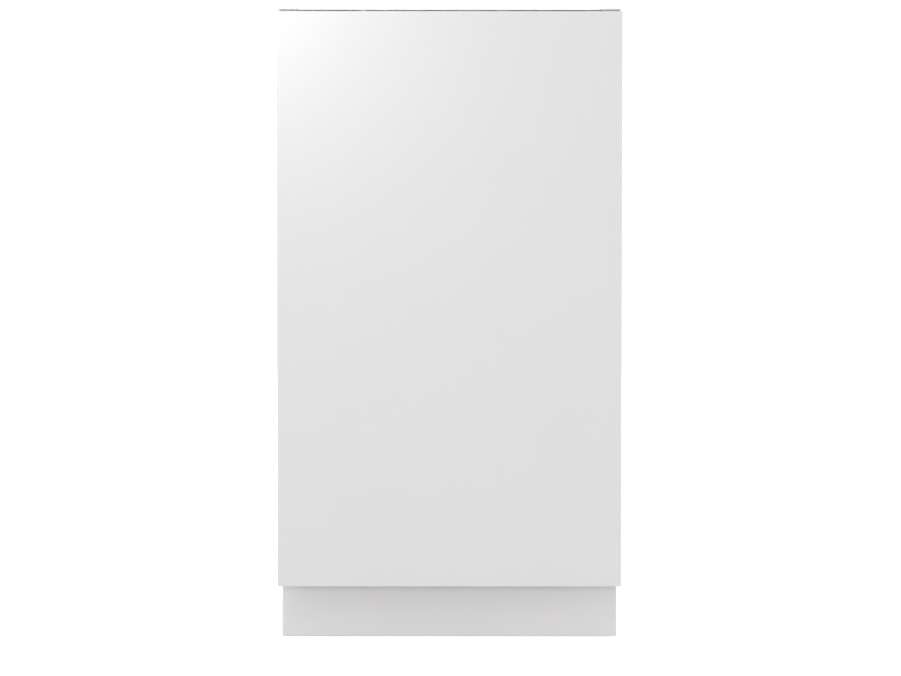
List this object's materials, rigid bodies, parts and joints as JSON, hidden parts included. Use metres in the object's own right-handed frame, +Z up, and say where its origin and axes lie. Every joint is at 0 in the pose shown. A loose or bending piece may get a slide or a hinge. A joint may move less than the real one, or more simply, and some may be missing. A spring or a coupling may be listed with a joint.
{
  "type": "fully integrated slimline dishwasher",
  "caption": "Built-in dishwasher with a drop-down door behind a white furniture door and a recessed plinth board",
  "frame": {"origin": "on the floor, under the middle of the object's box", "axes": "+Z up, -Y out of the front (the furniture door), +X to the right as seen from the front"},
  "size_m": [0.448, 0.57, 0.82],
  "materials": {
    "white_lacquer": "satin white lacquer on board",
    "white_plinth": "satin white foil on board",
    "galvanised": "galvanised sheet",
    "stainless": "fine brushed stainless steel",
    "stainless_wire": "bright wire",
    "grey_coated_wire": "grey nylon-coated wire",
    "grey_plastic": "fine-textured grey plastic",
    "dark_plastic": "dark grey plastic",
    "silver_plastic": "silver-grey plastic",
    "white_plastic": "white plastic",
    "smoked_window": "smoked clear plastic",
    "black_rubber": "black rubber",
    "grey_rubber": "grey rubber",
    "felt": "needled felt",
    "green_board": "circuit board",
    "spring_steel": "spring wire",
    "blue_plastic": "blue plastic",
    "zinc": "zinc-plated steel"
  },
  "bodies": {
    "cabinet": {"plinth": "white_plinth", "base_tray": "dark_plastic", "tub": "stainless", "tub_seal": "grey_rubber", "side_panels": "galvanised", "back_panel": "galvanised", "top_crossbar": "galvanised", "worktop_lugs": "zinc", "latch_striker": "stainless", "tub_insulation": "felt", "sump": "grey_plastic", "circulation_pump": "grey_plastic", "drain_pump": "grey_plastic", "water_softener": "white_plastic", "water_tank": "white_plastic", "feed_pipe": "grey_plastic", "inlet_valve": "white_plastic", "drain_outlet": "grey_plastic", "terminal_box": "dark_plastic", "hinge_brackets": "zinc", "door_springs": "spring_steel", "rail_channels": "stainless", "coarse_filter": "stainless", "ceiling_sprayer": "grey_plastic", "cabinet_screws": "zinc"},
    "door": {"door_outer_sheet": "galvanised", "door_liner": "stainless", "door_insulation": "felt", "control_fascia": "silver_plastic", "control_board": "green_board", "display_window": "smoked_window", "dispenser_housing": "grey_plastic", "hinge_arms": "zinc", "door_lower_seal": "black_rubber", "panel_rails": "zinc"},
    "furniture_door": {"front_panel": "white_lacquer", "panel_sliders": "zinc"},
    "power_button": {"power_button": "dark_plastic"},
    "program_button": {"program_button": "dark_plastic"},
    "start_button": {"start_button": "dark_plastic"},
    "dispenser_lid": {"dispenser_lid": "silver_plastic"},
    "rinse_aid_cap": {"rinse_aid_cap": "blue_plastic"},
    "door_latch": {"door_latch": "zinc"},
    "upper_basket": {"upper_basket": "grey_coated_wire"},
    "rail_runners": {"rail_runners": "stainless_wire"},
    "cup_shelf": {"cup_shelf": "grey_coated_wire"},
    "upper_spray_arm": {"upper_spray_arm": "grey_plastic"},
    "lower_basket": {"lower_basket": "grey_coated_wire"},
    "folding_tines": {"folding_tines": "grey_coated_wire"},
    "front_wheels": {"front_wheels": "grey_plastic"},
    "rear_wheels": {"rear_wheels": "grey_plastic"},
    "cutlery_basket": {"cutlery_basket": "grey_plastic"},
    "lower_spray_arm": {"lower_spray_arm": "grey_plastic"},
    "filter_cylinder": {"filter_cylinder": "grey_plastic"},
    "salt_cap": {"salt_cap": "dark_plastic"},
    "foot_front_left": {"foot_front_left": "dark_plastic"},
    "foot_front_right": {"foot_front_right": "dark_plastic"},
    "foot_rear": {"foot_rear": "dark_plastic"},
    "pump_impeller": {"pump_impeller": "dark_plastic"},
    "drain_impeller": {"drain_impeller": "dark_plastic"}
  },
  "joints": [
    {"name": "door_hinge", "type": "hinge", "parent": "cabinet", "child": "door", "pos_m": [0, -0.245, 0.112], "axis": [1, 0, 0], "range_deg": [0, 90], "stiffness_Nm_per_rad": 24, "deforming": ["door_springs"]},
    {"name": "panel_slide", "type": "slide", "parent": "door", "child": "furniture_door", "axis": [0, 0, 1], "range_m": [0, 0.05]},
    {"name": "power_press", "type": "slide", "parent": "door", "child": "power_button", "axis": [0, 0, -1], "range_m": [0, 0.0015], "stiffness_N_per_m": 400},
    {"name": "program_press", "type": "slide", "parent": "door", "child": "program_button", "axis": [0, 0, -1], "range_m": [0, 0.0015], "stiffness_N_per_m": 400},
    {"name": "start_press", "type": "slide", "parent": "door", "child": "start_button", "axis": [0, 0, -1], "range_m": [0, 0.0015], "stiffness_N_per_m": 400},
    {"name": "latch_lever", "type": "hinge", "parent": "door", "child": "door_latch", "pos_m": [0, -0.243, 0.781], "axis": [-1, 0, 0], "range_deg": [0, 8], "stiffness_Nm_per_rad": 0.5},
    {"name": "dispenser_lid_slide", "type": "slide", "parent": "door", "child": "dispenser_lid", "axis": [0, 0, 1], "range_m": [0, 0.066]},
    {"name": "rinse_aid_turn", "type": "hinge", "parent": "door", "child": "rinse_aid_cap", "pos_m": [0.048, -0.2, 0.545], "axis": [0, 1, 0], "range_deg": [0, 90]},
    {"name": "upper_basket_slide", "type": "slide", "parent": "cabinet", "child": "upper_basket", "axis": [0, -1, 0], "range_m": [0, 0.3927]},
    {"name": "rail_slide", "type": "slide", "parent": "cabinet", "child": "rail_runners", "axis": [0, -1, 0], "range_m": [0, 0.1964]},
    {"name": "cup_shelf_fold", "type": "hinge", "parent": "upper_basket", "child": "cup_shelf", "pos_m": [-0.17, 0, 0.548], "axis": [0, -1, 0], "range_deg": [0, 88]},
    {"name": "upper_arm_spin", "type": "hinge", "parent": "upper_basket", "child": "upper_spray_arm", "pos_m": [0, 0.025, 0.455], "axis": [0, 0, 1], "continuous": true},
    {"name": "lower_basket_slide", "type": "slide", "parent": "cabinet", "child": "lower_basket", "axis": [0, -1, 0], "range_m": [0, 0.1571]},
    {"name": "tine_fold", "type": "hinge", "parent": "lower_basket", "child": "folding_tines", "pos_m": [0.048, 0, 0.186], "axis": [0, 1, 0], "range_deg": [0, 85]},
    {"name": "front_wheel_spin", "type": "hinge", "parent": "lower_basket", "child": "front_wheels", "pos_m": [0, -0.078, 0.1626], "axis": [1, 0, 0], "range_deg": [-5, 455]},
    {"name": "rear_wheel_spin", "type": "hinge", "parent": "lower_basket", "child": "rear_wheels", "pos_m": [0, 0.13, 0.1626], "axis": [1, 0, 0], "range_deg": [-5, 455]},
    {"name": "cutlery_lift", "type": "slide", "parent": "lower_basket", "child": "cutlery_basket", "axis": [0, 0, 1], "range_m": [0, 0.05]},
    {"name": "lower_arm_spin", "type": "hinge", "parent": "cabinet", "child": "lower_spray_arm", "pos_m": [0, 0.025, 0.145], "axis": [0, 0, 1], "continuous": true},
    {"name": "filter_turn", "type": "hinge", "parent": "cabinet", "child": "filter_cylinder", "pos_m": [0.062, -0.042, 0.1], "axis": [0, 0, 1], "range_deg": [0, 90]},
    {"name": "salt_cap_turn", "type": "hinge", "parent": "cabinet", "child": "salt_cap", "pos_m": [-0.115, -0.095, 0.12], "axis": [0, 0, 1], "continuous": true},
    {"name": "front_left_foot", "type": "slide", "parent": "cabinet", "child": "foot_front_left", "axis": [0, 0, -1], "range_m": [0, 0.05]},
    {"name": "front_right_foot", "type": "slide", "parent": "cabinet", "child": "foot_front_right", "axis": [0, 0, -1], "range_m": [0, 0.05]},
    {"name": "rear_foot", "type": "slide", "parent": "cabinet", "child": "foot_rear", "axis": [0, 0, -1], "range_m": [0, 0.05]},
    {"name": "pump_spin", "type": "hinge", "parent": "cabinet", "child": "pump_impeller", "pos_m": [0.142, -0.042, 0.072], "axis": [1, 0, 0], "continuous": true},
    {"name": "drain_spin", "type": "hinge", "parent": "cabinet", "child": "drain_impeller", "pos_m": [0.104, 0.15, 0.06], "axis": [1, 0, 0], "continuous": true}
  ],
  "couplings": [
    {"joint": "panel_slide", "follows": "door_hinge", "m_per_rad": 0.03183},
    {"joint": "upper_basket_slide", "follows": "door_hinge", "m_per_rad": 0.25},
    {"joint": "rail_slide", "follows": "door_hinge", "m_per_rad": 0.125},
    {"joint": "lower_basket_slide", "follows": "door_hinge", "m_per_rad": 0.1},
    {"joint": "front_wheel_spin", "follows": "door_hinge", "ratio": 5},
    {"joint": "rear_wheel_spin", "follows": "door_hinge", "ratio": 5}
  ]
}
